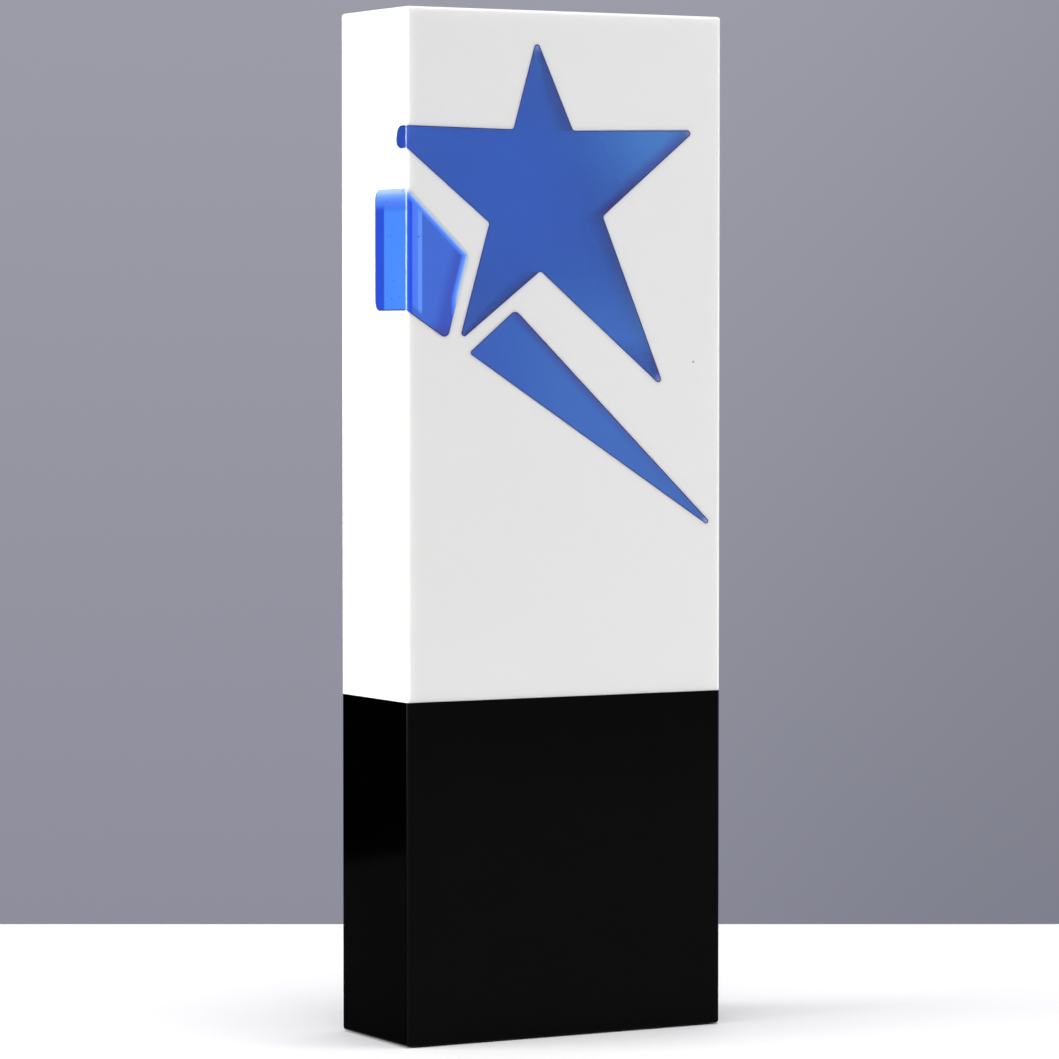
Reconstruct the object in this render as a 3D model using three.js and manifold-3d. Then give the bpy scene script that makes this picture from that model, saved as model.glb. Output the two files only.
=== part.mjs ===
// Star trophy: a white cast block with three flush blue resin inlays, screwed onto a black block of the
// same footprint. Millimetres, +Z up, the star face looks along -Y. The origin is the middle of the
// underside.

import * as THREE from 'three';
import { RoundedBoxGeometry } from 'three/addons/geometries/RoundedBoxGeometry.js';
import { mergeVertices } from 'three/addons/utils/BufferGeometryUtils.js';
import Module from 'manifold-3d';

const wasm = await Module();
wasm.setup();

// ---------------------------------------------------------------- driving dimensions

const WIDTH = 105;
const DEPTH = 42;
const HEIGHT = 300;
const BASE_TOP = 100;
const EDGE_RADIUS = 1;
const EDGE_SEGMENTS = 2;

const LEFT = -WIDTH / 2;
const FRONT = -DEPTH / 2;

// Room left round a piece that sits in another one.
const FIT = 0.3;
// How far a cutting tool runs past the faces that it opens.
const OVERRUN = 3;

// The inlays: pocket depth, and how the pocket floor rises towards each pointed tip.
const POCKET_DEPTH = 20;
const TIP_DEPTH = 0.5;
const FLOOR_SLOPE = 0.65;
const CORNER_RADIUS = 1;
const SIDE_STREAK_FILLET = 2.5;
const FILLET_FACETS = 3;
const ARC_DIVISIONS = 2;

// Corners of each inlay on the star face, [x, z], clockwise, where its straight sides would meet.
// Points outside the left face make the inlay run out through it.
const STAR_CORNERS = [
  [-10, 292], [2.2, 265.4], [43.8, 266.3], [12.2, 240.5], [33.5, 189.5],
  [-8.7, 224.4], [-35.6, 203.8], [-25.6, 238.2], [-61, 266.1], [-17.7, 265.4],
];
const SIDE_STREAK_CORNERS = [[-60, 255], [-32.5, 229], [-39.3, 204.3], [-60, 217.7]];
const TAIL_STREAK_CORNERS = [[-32.3, 200.6], [-17, 213.2], [53.6, 145.8]];
// The radius of each of those corners.
const STAR_RADII = STAR_CORNERS.map(() => CORNER_RADIUS);
const SIDE_STREAK_RADII = [CORNER_RADIUS, CORNER_RADIUS, 1.8, CORNER_RADIUS];
const TAIL_STREAK_RADII = [0.75, 2, 0.75];

// The fixings between the two blocks.
const SCREW_SPACING = 50;
const SCREW_RADIUS = 3;
const SCREW_LENGTH = 40;
const HEAD_RADIUS = 5;
const HEAD_HEIGHT = 6;
const SOCKET_RADIUS = 2.9;
const SOCKET_DEPTH = 3;
const WASHER_RADIUS = 6;
const WASHER_THICKNESS = 1.6;
const COUNTERBORE_RADIUS = 6.5;
const SCREW_WEB = 25;
const INSERT_RADIUS = 4.5;
const INSERT_LENGTH = 15;
const INSERT_FLANGE = 0.8;
const INSERT_BORE_DEPTH = 18;
const DOWEL_SPACING = 84;
const DOWEL_RADIUS = 3;
const DOWEL_LENGTH = 30;
const DOWEL_CHAMFER = 0.6;
const ROUND_SEGMENTS = 24;

// The felt pad, let into the underside so that only PAD_PROUD of it stands out.
const PAD_THICKNESS = 1.5;
const PAD_PROUD = 0.3;
const PAD_INSET = 4;
const PAD_CORNER_RADIUS = 3;

const WASHER_TOP = BASE_TOP - SCREW_WEB;
const HEAD_TOP = WASHER_TOP - WASHER_THICKNESS;

// ---------------------------------------------------------------- solids

// A closed geometry as a solid that can be cut and joined.
function solid(geometry) {
  const plain = geometry.clone();
  plain.deleteAttribute('normal');
  plain.deleteAttribute('uv');
  const merged = mergeVertices(plain);
  const corners = merged.index.array;
  const triVerts = [];
  for (let i = 0; i < corners.length; i += 3) {
    const [a, b, c] = corners.slice(i, i + 3);
    if (a !== b && b !== c && c !== a) triVerts.push(a, b, c);
  }
  const vertProperties = merged.attributes.position.array;
  return new wasm.Manifold(
    new wasm.Mesh({ numProp: 3, vertProperties, triVerts: Uint32Array.from(triVerts) }),
  );
}

function geometryOf(shape) {
  const { vertProperties, triVerts } = shape.getMesh();
  const geometry = new THREE.BufferGeometry();
  geometry.setAttribute('position', new THREE.BufferAttribute(vertProperties, 3));
  geometry.setIndex(new THREE.BufferAttribute(triVerts, 1));
  geometry.computeVertexNormals();
  return geometry;
}

// A box between two heights, wider than the trophy.
function slab(bottom, top) {
  const geometry = new THREE.BoxGeometry(WIDTH + 2 * OVERRUN, DEPTH + 2 * OVERRUN, top - bottom);
  return solid(geometry.translate(0, 0, (bottom + top) / 2));
}

// An upright cylinder at (x, 0) between two heights.
function rod(x, radius, bottom, top) {
  const geometry = new THREE.CylinderGeometry(radius, radius, top - bottom, ROUND_SEGMENTS);
  return solid(geometry.rotateX(Math.PI / 2).translate(x, 0, (bottom + top) / 2));
}

// A turned piece: radius and height pairs, up the outside.
function turned(profile) {
  const points = profile.map(([radius, height]) => new THREE.Vector2(radius, height));
  return new THREE.LatheGeometry(points, ROUND_SEGMENTS).rotateX(Math.PI / 2);
}

// ---------------------------------------------------------------- inlays and their pockets

// An outline through clockwise corners, moved outwards by grow, with each corner rounded.
function roundedOutline(corners, radii, grow) {
  const points = corners.map(([x, y]) => new THREE.Vector2(x, y));
  const outline = new THREE.Shape();
  points.forEach((corner, i) => {
    const before = points.at(i - 1);
    const after = points[(i + 1) % points.length];
    const arriving = corner.clone().sub(before).normalize();
    const leaving = after.clone().sub(corner).normalize();
    const outward = new THREE.Vector2(-arriving.y, arriving.x);
    const outwardAfter = new THREE.Vector2(-leaving.y, leaving.x);
    const shift = grow / (1 + outward.dot(outwardAfter));
    const moved = corner.clone().addScaledVector(outward, shift).addScaledVector(outwardAfter, shift);

    const convex = arriving.cross(leaving) < 0;
    const bend = convex ? radii[i] + grow : radii[i] - grow;
    const tangent = bend * Math.tan(Math.acos(arriving.dot(leaving)) / 2);
    const start = moved.clone().addScaledVector(arriving, -tangent);
    const end = moved.clone().addScaledVector(leaving, tangent);
    const centre = start.clone().addScaledVector(outward, convex ? -bend : bend);
    const startAngle = start.clone().sub(centre).angle();
    const endAngle = end.clone().sub(centre).angle();
    outline.absarc(centre.x, centre.y, bend, startAngle, endAngle, convex);
  });
  return outline;
}

// The outline drawn on the star face and driven straight back into the block.
function prism(corners, radii, grow) {
  const depth = OVERRUN + POCKET_DEPTH + grow;
  const options = { depth, bevelEnabled: false, curveSegments: ARC_DIVISIONS };
  const geometry = new THREE.ExtrudeGeometry(roundedOutline(corners, radii, grow), options);
  return solid(geometry.rotateX(Math.PI / 2).translate(0, FRONT - OVERRUN + depth, 0));
}

// A block, larger than the trophy, whose near face lies through a point and whose normal points into it.
function beyond(point, normal) {
  const size = 2 * HEIGHT;
  const centre = point.clone().addScaledVector(normal, size / 2);
  const turn = new THREE.Quaternion().setFromUnitVectors(new THREE.Vector3(0, 0, 1), normal);
  const place = new THREE.Matrix4().compose(centre, turn, new THREE.Vector3(1, 1, 1));
  return solid(new THREE.BoxGeometry(size, size, size).applyMatrix4(place));
}

// Raises the pocket floor towards one pointed corner.
function slopeFloor(shape, corners, tip, grow) {
  const point = new THREE.Vector3(corners[tip][0], FRONT + TIP_DEPTH + grow, corners[tip][1]);
  const [beforeX, beforeZ] = corners.at(tip - 1);
  const [afterX, afterZ] = corners[(tip + 1) % corners.length];
  const root = new THREE.Vector3((beforeX + afterX) / 2, point.y, (beforeZ + afterZ) / 2);
  const towardsTip = point.clone().sub(root).normalize();
  const normal = new THREE.Vector3(0, 1, 0).addScaledVector(towardsTip, FLOOR_SLOPE).normalize();
  return shape.subtract(beyond(point, normal));
}

// Rounds the corner between the pocket floor and the wall that starts at one corner.
function filletFloor(shape, corners, side, grow) {
  const [startX, startZ] = corners[side];
  const [endX, endZ] = corners[(side + 1) % corners.length];
  const outward = new THREE.Vector3(startZ - endZ, 0, endX - startX).normalize();
  const back = new THREE.Vector3(0, 1, 0);
  const axis = new THREE.Vector3((startX + endX) / 2, FRONT + POCKET_DEPTH, (startZ + endZ) / 2);
  axis.addScaledVector(outward, -SIDE_STREAK_FILLET).addScaledVector(back, -SIDE_STREAK_FILLET);
  let rounded = shape;
  for (let facet = 1; facet <= FILLET_FACETS; facet += 1) {
    const angle = (facet * Math.PI) / 2 / (FILLET_FACETS + 1);
    const normal = outward.clone().multiplyScalar(Math.cos(angle)).addScaledVector(back, Math.sin(angle));
    const touch = axis.clone().addScaledVector(normal, SIDE_STREAK_FILLET + grow);
    rounded = rounded.subtract(beyond(touch, normal));
  }
  return rounded;
}

function starSolid(grow) {
  const tips = [0, 2, 4, 6, 8];
  return tips.reduce(
    (shape, tip) => slopeFloor(shape, STAR_CORNERS, tip, grow),
    prism(STAR_CORNERS, STAR_RADII, grow),
  );
}

function sideStreakSolid(grow) {
  const sides = [0, 1, 2];
  return sides.reduce(
    (shape, side) => filletFloor(shape, SIDE_STREAK_CORNERS, side, grow),
    prism(SIDE_STREAK_CORNERS, SIDE_STREAK_RADII, grow),
  );
}

function tailStreakSolid(grow) {
  const tip = 2;
  const shape = prism(TAIL_STREAK_CORNERS, TAIL_STREAK_RADII, grow);
  return slopeFloor(shape, TAIL_STREAK_CORNERS, tip, grow);
}

// ---------------------------------------------------------------- blocks

const bothSides = (spacing) => [-spacing / 2, spacing / 2];

// Both blocks are machined together as one upright bar with eased edges.
const barHeight = HEIGHT - PAD_PROUD;
const bar = solid(
  new RoundedBoxGeometry(WIDTH, DEPTH, barHeight, EDGE_SEGMENTS, EDGE_RADIUS)
    .translate(0, 0, PAD_PROUD + barHeight / 2),
);

function whiteBlock() {
  let block = bar.intersect(slab(BASE_TOP, HEIGHT + OVERRUN));
  for (const pocket of [starSolid(FIT), sideStreakSolid(FIT), tailStreakSolid(FIT)]) {
    block = block.subtract(pocket);
  }
  for (const x of bothSides(SCREW_SPACING)) {
    block = block.subtract(rod(x, INSERT_RADIUS + FIT, BASE_TOP - OVERRUN, BASE_TOP + INSERT_BORE_DEPTH));
  }
  for (const x of bothSides(DOWEL_SPACING)) {
    const top = BASE_TOP + DOWEL_LENGTH / 2 + FIT;
    block = block.subtract(rod(x, DOWEL_RADIUS + FIT, BASE_TOP - OVERRUN, top));
  }
  return block;
}

function padOutline(inset) {
  const halfWidth = WIDTH / 2 - inset;
  const halfDepth = DEPTH / 2 - inset;
  const corners = [
    [-halfWidth, halfDepth], [halfWidth, halfDepth], [halfWidth, -halfDepth], [-halfWidth, -halfDepth],
  ];
  return roundedOutline(corners, corners.map(() => PAD_CORNER_RADIUS), 0);
}

function padSolid(inset, bottom, top) {
  const options = { depth: top - bottom, bevelEnabled: false, curveSegments: ARC_DIVISIONS };
  return new THREE.ExtrudeGeometry(padOutline(inset), options).translate(0, 0, bottom);
}

function blackBase() {
  let block = bar.intersect(slab(PAD_PROUD - OVERRUN, BASE_TOP));
  block = block.subtract(solid(padSolid(PAD_INSET - FIT, PAD_PROUD - OVERRUN, PAD_THICKNESS)));
  for (const x of bothSides(SCREW_SPACING)) {
    block = block.subtract(rod(x, COUNTERBORE_RADIUS, PAD_PROUD, WASHER_TOP));
    block = block.subtract(rod(x, SCREW_RADIUS + FIT, PAD_PROUD, BASE_TOP + OVERRUN));
  }
  for (const x of bothSides(DOWEL_SPACING)) {
    const bottom = BASE_TOP - DOWEL_LENGTH / 2 - FIT;
    block = block.subtract(rod(x, DOWEL_RADIUS + FIT, bottom, BASE_TOP + OVERRUN));
  }
  return block;
}

// ---------------------------------------------------------------- fixings

function screwGeometry() {
  const shank = rod(0, SCREW_RADIUS, -FIT, SCREW_LENGTH);
  const head = rod(0, HEAD_RADIUS, -HEAD_HEIGHT, 0);
  const hexagon = new THREE.CylinderGeometry(SOCKET_RADIUS, SOCKET_RADIUS, 2 * SOCKET_DEPTH, 6);
  const socket = solid(hexagon.rotateX(Math.PI / 2).translate(0, 0, -HEAD_HEIGHT));
  return geometryOf(head.add(shank).subtract(socket));
}

function washerGeometry() {
  const bore = SCREW_RADIUS + FIT;
  return turned([
    [WASHER_RADIUS, 0], [WASHER_RADIUS, WASHER_THICKNESS],
    [bore, WASHER_THICKNESS], [bore, 0], [WASHER_RADIUS, 0],
  ]);
}

// A threaded insert with a waist between two rings of knurling.
function insertGeometry() {
  const bore = SCREW_RADIUS + FIT;
  const waist = INSERT_RADIUS - INSERT_FLANGE;
  const third = INSERT_LENGTH / 3;
  return turned([
    [INSERT_RADIUS, 0], [INSERT_RADIUS, third], [waist, third + INSERT_FLANGE],
    [waist, 2 * third - INSERT_FLANGE], [INSERT_RADIUS, 2 * third], [INSERT_RADIUS, INSERT_LENGTH],
    [bore, INSERT_LENGTH], [bore, 0], [INSERT_RADIUS, 0],
  ]);
}

function dowelGeometry() {
  const neck = DOWEL_RADIUS - DOWEL_CHAMFER;
  return turned([
    [0, 0], [neck, 0], [DOWEL_RADIUS, DOWEL_CHAMFER],
    [DOWEL_RADIUS, DOWEL_LENGTH - DOWEL_CHAMFER], [neck, DOWEL_LENGTH], [0, DOWEL_LENGTH],
  ]);
}

// ---------------------------------------------------------------- materials and assembly

const finishes = {
  whiteResin: { color: 0xe6e6e4, roughness: 0.3, metalness: 0 },
  blueResin: { color: 0x3c5fb5, roughness: 0.08, metalness: 0 },
  blackResin: { color: 0x0d0d0d, roughness: 0.2, metalness: 0 },
  steel: { color: 0x9a9ca0, roughness: 0.35, metalness: 1 },
  brass: { color: 0xc9a24a, roughness: 0.35, metalness: 1 },
  felt: { color: 0x141416, roughness: 1, metalness: 0 },
};

const trophy = new THREE.Group();
trophy.name = 'star_trophy';

function place(name, geometry, finish, x = 0, z = 0) {
  const mesh = new THREE.Mesh(geometry, new THREE.MeshStandardMaterial(finishes[finish]));
  mesh.name = name;
  mesh.position.set(x, 0, z);
  trophy.add(mesh);
}

place('white_block', geometryOf(whiteBlock()), 'whiteResin');
place('star_inlay', geometryOf(starSolid(0).intersect(bar)), 'blueResin');
place('side_streak_inlay', geometryOf(sideStreakSolid(0).intersect(bar)), 'blueResin');
place('tail_streak_inlay', geometryOf(tailStreakSolid(0).intersect(bar)), 'blueResin');
place('black_base', geometryOf(blackBase()), 'blackResin');
place('base_pad', padSolid(PAD_INSET, 0, PAD_THICKNESS), 'felt');

['left', 'right'].forEach((side, i) => {
  const screwX = bothSides(SCREW_SPACING)[i];
  const dowelX = bothSides(DOWEL_SPACING)[i];
  place(`insert_${side}`, insertGeometry(), 'brass', screwX, BASE_TOP);
  place(`screw_${side}`, screwGeometry(), 'steel', screwX, HEAD_TOP);
  place(`washer_${side}`, washerGeometry(), 'steel', screwX, HEAD_TOP);
  place(`dowel_${side}`, dowelGeometry(), 'steel', dowelX, BASE_TOP - DOWEL_LENGTH / 2);
});

export default trophy;
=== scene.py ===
import math

import bmesh
import bpy
import numpy as np
from mathutils import Matrix, Vector
from mathutils.geometry import delaunay_2d_cdt


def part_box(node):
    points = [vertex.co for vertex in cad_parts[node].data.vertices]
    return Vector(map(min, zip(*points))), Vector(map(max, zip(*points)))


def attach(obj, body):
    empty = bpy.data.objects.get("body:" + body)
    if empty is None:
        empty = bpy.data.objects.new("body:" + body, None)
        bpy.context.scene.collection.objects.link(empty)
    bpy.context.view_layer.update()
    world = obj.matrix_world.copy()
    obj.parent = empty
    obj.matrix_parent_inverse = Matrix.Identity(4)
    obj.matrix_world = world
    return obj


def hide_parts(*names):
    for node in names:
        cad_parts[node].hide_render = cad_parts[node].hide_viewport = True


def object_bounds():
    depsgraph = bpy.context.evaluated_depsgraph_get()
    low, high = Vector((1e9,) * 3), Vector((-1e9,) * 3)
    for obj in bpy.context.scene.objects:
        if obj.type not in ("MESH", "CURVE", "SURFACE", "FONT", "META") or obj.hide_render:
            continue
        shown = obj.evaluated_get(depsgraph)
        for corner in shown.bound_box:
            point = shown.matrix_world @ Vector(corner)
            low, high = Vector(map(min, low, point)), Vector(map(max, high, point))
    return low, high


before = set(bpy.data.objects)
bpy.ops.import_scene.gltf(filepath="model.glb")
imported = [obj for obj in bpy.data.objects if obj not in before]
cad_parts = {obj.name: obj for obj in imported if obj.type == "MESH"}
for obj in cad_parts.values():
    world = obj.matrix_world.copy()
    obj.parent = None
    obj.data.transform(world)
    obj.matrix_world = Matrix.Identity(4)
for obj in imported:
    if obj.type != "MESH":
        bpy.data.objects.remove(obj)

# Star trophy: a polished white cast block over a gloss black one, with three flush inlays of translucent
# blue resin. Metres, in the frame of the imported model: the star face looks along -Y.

cad_low, cad_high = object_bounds()

# ---------------------------------------------------------------- sizes

MM = 0.001

LEFT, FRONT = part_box("white_block")[0].xy
JOINT_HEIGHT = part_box("white_block")[0].z
POCKET_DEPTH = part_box("star_inlay")[1].y - FRONT

EDGE_RADIUS = 1.0 * MM
EDGE_SEGMENTS = 8
JOINT_EDGE_RADIUS = 0.12 * MM
JOINT_EDGE_SEGMENTS = 3
CORNER_RADIUS = 1.0 * MM
TAIL_RADII = (0.75 * MM, 2.0 * MM, 0.75 * MM)
SIDE_STREAK_RADII = (1.8 * MM, 1.0 * MM, 1.0 * MM, 1.0 * MM)
FLOOR_FILLET = 4.0 * MM
SIDE_STREAK_FILLET = 2.5 * MM
LARGEST_FILLET_SHARE = 0.4
TIP_DEPTH = 0.5 * MM
FLOOR_SLOPE = 0.65
OVERRUN = 3.0 * MM

# Shorter sides of a packed outline are facets of its rounded corners, and sides that turn by less than
# SAME_SIDE are one side.
SHORTEST_SIDE = 2.0 * MM
SAME_SIDE = math.radians(0.5)
ON_FACE = 1e-6

# An outline's corner is a pointed tip if it is sharper than this.
POINTED = math.radians(45)

# The resin fills its pocket: the pocket wall stands this far inside the resin's own surface, so that
# light meets no gap between the two.
BOND = 0.05 * MM
FLUSH_STEP = 0.01 * MM
FLUSH_TOLERANCE = 0.1 * FLUSH_STEP

# A fine dark line of painted shade shows where resin and casting meet, beside faces that turn away at least
# this steeply.
LINE_WIDTH = 0.3 * MM
STEEP = 0.7

# Room round the fixings, as they are drilled for in the two blocks.
FIT = 0.3 * MM
COUNTERBORE_RADIUS = 6.5 * MM
INSERT_BORE_DEPTH = 18 * MM

# ---------------------------------------------------------------- camera


def direction(azimuth, elevation):
    """Away from the trophy. Azimuth is from the star face's own direction, positive to its right."""
    return Vector((
        math.sin(azimuth) * math.cos(elevation),
        -math.cos(azimuth) * math.cos(elevation),
        math.sin(elevation),
    ))


CAMERA_AZIMUTH = math.radians(-28.85)
CAMERA_PITCH = math.radians(2.37)
CAMERA_DISTANCE = 1.438
CAMERA_ASIDE = -0.0007
CAMERA_RAISED = -0.0018
CAMERA_RIGHT = Vector((math.cos(CAMERA_AZIMUTH), math.sin(CAMERA_AZIMUTH), 0))
FOCAL_LENGTH_IN_FRAMES = 4854 / 1059
SENSOR = 36.0


def make_camera():
    data = bpy.data.cameras.new("camera")
    data.sensor_width = SENSOR
    data.lens = SENSOR * FOCAL_LENGTH_IN_FRAMES
    camera = bpy.data.objects.new("camera", data)
    bpy.context.scene.collection.objects.link(camera)
    back = direction(CAMERA_AZIMUTH, CAMERA_PITCH)
    up = back.cross(CAMERA_RIGHT)
    middle = (cad_low + cad_high) / 2
    camera.location = middle + CAMERA_DISTANCE * back + CAMERA_ASIDE * CAMERA_RIGHT + CAMERA_RAISED * up
    camera.rotation_euler = Matrix((CAMERA_RIGHT, up, back)).transposed().to_euler()
    bpy.context.scene.camera = camera


# ---------------------------------------------------------------- mesh helpers


def new_piece(name, mesh):
    piece = bpy.data.objects.new(name, mesh)
    bpy.context.scene.collection.objects.link(piece)
    return piece


def mesh_from(name, vertices, faces):
    mesh = bpy.data.meshes.new(name)
    mesh.from_pydata([tuple(v) for v in vertices], [], faces)
    mesh.update()
    return mesh


def apply_modifiers(piece):
    depsgraph = bpy.context.evaluated_depsgraph_get()
    mesh = bpy.data.meshes.new_from_object(piece.evaluated_get(depsgraph), depsgraph=depsgraph)
    piece.modifiers.clear()
    piece.data = mesh


def boolean(piece, other, operation):
    cut = piece.modifiers.new(operation.lower(), "BOOLEAN")
    cut.operation = operation
    cut.solver = "EXACT"
    cut.material_mode = "TRANSFER"
    cut.object = other
    apply_modifiers(piece)


def discard(piece):
    bpy.data.objects.remove(piece, do_unlink=True)


BORE_SEGMENTS = 64
SHARP_EDGE = math.radians(30)


def bore(piece, centre, radius, low, high):
    """Drills an upright hole between two heights."""
    bm = bmesh.new()
    bmesh.ops.create_cone(
        bm, cap_ends=True, segments=BORE_SEGMENTS, radius1=radius, radius2=radius, depth=high - low
    )
    drill = new_piece("drill", bpy.data.meshes.new("drill"))
    bm.to_mesh(drill.data)
    bm.free()
    drill.data.transform(Matrix.Translation((centre.x, centre.y, (low + high) / 2)))
    boolean(piece, drill, "DIFFERENCE")
    discard(drill)


def smooth_by_angle(piece):
    mesh = piece.data
    mesh.shade_smooth()
    mesh.set_sharp_from_angle(angle=SHARP_EDGE)
    weighted = piece.modifiers.new("weighted_normals", "WEIGHTED_NORMAL")
    weighted.keep_sharp = True
    weighted.weight = 100
    apply_modifiers(piece)


def eased_bar(name, low, high, inset=0.0):
    """An upright bar with its edges eased as a polished casting's are. The edges at the joint between the
    two blocks are nearly sharp."""
    bm = bmesh.new()
    bmesh.ops.create_cube(bm, size=1)
    size = high - low - Vector((inset, inset, 0)) * 2
    for vertex in bm.verts:
        vertex.co = (low + high) / 2 + Vector(a * b for a, b in zip(vertex.co, size))
    at_joint = [v for v in bm.verts if abs(v.co.z - JOINT_HEIGHT) < JOINT_EDGE_RADIUS]
    eased = [e for e in bm.edges if not all(v in at_joint for v in e.verts)]
    bevel(bm, eased, EDGE_RADIUS - inset, EDGE_SEGMENTS)
    at_joint = {v for v in bm.verts if abs(v.co.z - JOINT_HEIGHT) < JOINT_EDGE_RADIUS}
    nearly_sharp = [e for e in bm.edges if at_joint.issuperset(e.verts)]
    bevel(bm, nearly_sharp, JOINT_EDGE_RADIUS, JOINT_EDGE_SEGMENTS)
    mesh = bpy.data.meshes.new(name)
    bm.to_mesh(mesh)
    bm.free()
    return new_piece(name, mesh)


def bevel(bm, edges, radius, segments):
    bmesh.ops.bevel(
        bm, geom=edges, offset=radius, segments=segments, profile=0.5, affect="EDGES", clamp_overlap=False
    )


# ---------------------------------------------------------------- outlines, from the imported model


def straight_sides(node):
    """The long straight sides of a node's front face, in order, as pairs of (x, z) points."""
    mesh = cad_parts[node].data
    following = {}
    for polygon in mesh.polygons:
        corners = [mesh.vertices[i].co for i in polygon.vertices]
        if max(abs(c.y - FRONT) for c in corners) > ON_FACE:
            continue
        keys = [(round(c.x, 6), round(c.z, 6)) for c in corners]
        for a, b in zip(keys, keys[1:] + keys[:1]):
            if (b, a) in following:
                del following[b, a]
            else:
                following[a, b] = b
    onward = {a: b for a, b in following}
    start = min(onward)
    loop = [start]
    while onward[loop[-1]] != start:
        loop.append(onward[loop[-1]])
    points = [Vector(p) for p in loop]
    sides = []
    for a, b in zip(points, points[1:] + points[:1]):
        if (b - a).length < SHORTEST_SIDE:
            continue
        if sides and (b - a).angle(sides[-1][1] - sides[-1][0]) < SAME_SIDE:
            sides[-1] = (sides[-1][0], b)
        else:
            sides.append((a, b))
    if (sides[0][1] - sides[0][0]).angle(sides[-1][1] - sides[-1][0]) < SAME_SIDE:
        sides[0] = (sides[-1][0], sides[0][1])
        sides.pop()
    return sides


def sharp_corners(node):
    """Where those sides would meet. A side along the left face is replaced by one beyond it."""
    sides = straight_sides(node)
    outside = LEFT - OVERRUN
    beside_left = LEFT + 1.5 * EDGE_RADIUS
    corners = []
    for (a, b), (c, d) in zip(sides, sides[1:] + sides[:1]):
        if max(c.x, d.x) < beside_left:
            corners.append(a + (b - a) * (outside - a.x) / (b.x - a.x))
        elif max(a.x, b.x) < beside_left:
            corners.append(c + (d - c) * (outside - c.x) / (d.x - c.x))
        else:
            corners.append(line_crossing(a, b, c, d))
    return corners


def line_crossing(a, b, c, d):
    along, other = b - a, d - c
    share = (c - a).cross(other) / along.cross(other)
    return a + along * share


CORNER_STEP = math.radians(12)
FEWEST_CORNER_STEPS = 4


def rounded_loop(corners, radii, spacing):
    """The outline through the corners with each one rounded, as points about spacing apart."""
    loop = []
    for i, (corner, radius) in enumerate(zip(corners, radii)):
        arriving = (corner - corners[i - 1]).normalized()
        leaving = (corners[(i + 1) % len(corners)] - corner).normalized()
        turn = math.atan2(arriving.cross(leaving), arriving.dot(leaving))
        reach = radius * math.tan(abs(turn) / 2)
        side = Vector((-arriving.y, arriving.x)) * math.copysign(1, turn)
        centre = corner - arriving * reach + side * radius
        steps = max(FEWEST_CORNER_STEPS, math.ceil(abs(turn) / CORNER_STEP))
        for k in range(steps + 1):
            loop.append(centre + Matrix.Rotation(turn * k / steps, 2) @ (-side * radius))
    points = []
    for a, b in zip(loop, loop[1:] + loop[:1]):
        steps = max(1, round((b - a).length / spacing))
        points += [a + (b - a) * k / steps for k in range(steps)]
    return np.array(points)


def distance_to(loop, points):
    """The distance from each point to a closed outline."""
    start, end = loop, np.roll(loop, -1, axis=0)
    along = end - start
    share = ((points[:, None] - start) * along).sum(2) / (along**2).sum(1)
    nearest = start + np.clip(share, 0, 1)[..., None] * along
    return np.sqrt(((points[:, None] - nearest) ** 2).sum(2).min(1))


def inside(loop, points):
    """Which points lie inside a closed outline, by counting the sides to their right."""
    start, end = loop, np.roll(loop, -1, axis=0)
    above = (start[:, 1] > points[:, None, 1]) != (end[:, 1] > points[:, None, 1])
    with np.errstate(divide="ignore", invalid="ignore"):
        share = (points[:, None, 1] - start[:, 1]) / (end[:, 1] - start[:, 1])
        crossing = start[:, 0] + share * (end[:, 0] - start[:, 0])
    return (above & (crossing > points[:, None, 0])).sum(1) % 2 == 1


# ---------------------------------------------------------------- resin inlays

WALL_SPACING = 1.2 * MM
FLOOR_SPACING = 2.0 * MM
CLOSEST_POINTS = 0.25 * WALL_SPACING
FILLET_STEPS = 8
# Points of a ring that come nearer to another part of the wall than this share of its reach are left out.
RING_CLEARANCE = 0.97
FLOOR_BLEND = 1.5 * MM


def smooth_minimum(a, b):
    gap = np.maximum(FLOOR_BLEND - np.abs(a - b), 0) / FLOOR_BLEND
    return np.minimum(a, b) - gap**2 * FLOOR_BLEND / 4


def pocket_depth(points, loop, tips, fillet_radius):
    """How deep the pocket is at each point: it shallows towards its pointed tips, and its floor meets the
    wall in a fillet."""
    floor = np.full(len(points), POCKET_DEPTH)
    for tip, root in tips:
        towards_root = np.array((root - tip).normalized())
        rise = TIP_DEPTH + FLOOR_SLOPE * ((points - np.array(tip)) @ towards_root)
        floor = smooth_minimum(floor, np.maximum(rise, TIP_DEPTH))
    fillet = np.minimum(fillet_radius, LARGEST_FILLET_SHARE * floor)
    short = np.maximum(fillet - distance_to(loop, points), 0)
    return floor - fillet + np.sqrt(np.maximum(fillet**2 - short**2, 0))


def inward_normals(loop):
    along = np.roll(loop, -1, axis=0) - np.roll(loop, 1, axis=0)
    return np.stack((-along[:, 1], along[:, 0]), 1) / np.linalg.norm(along, axis=1)[:, None]


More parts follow.
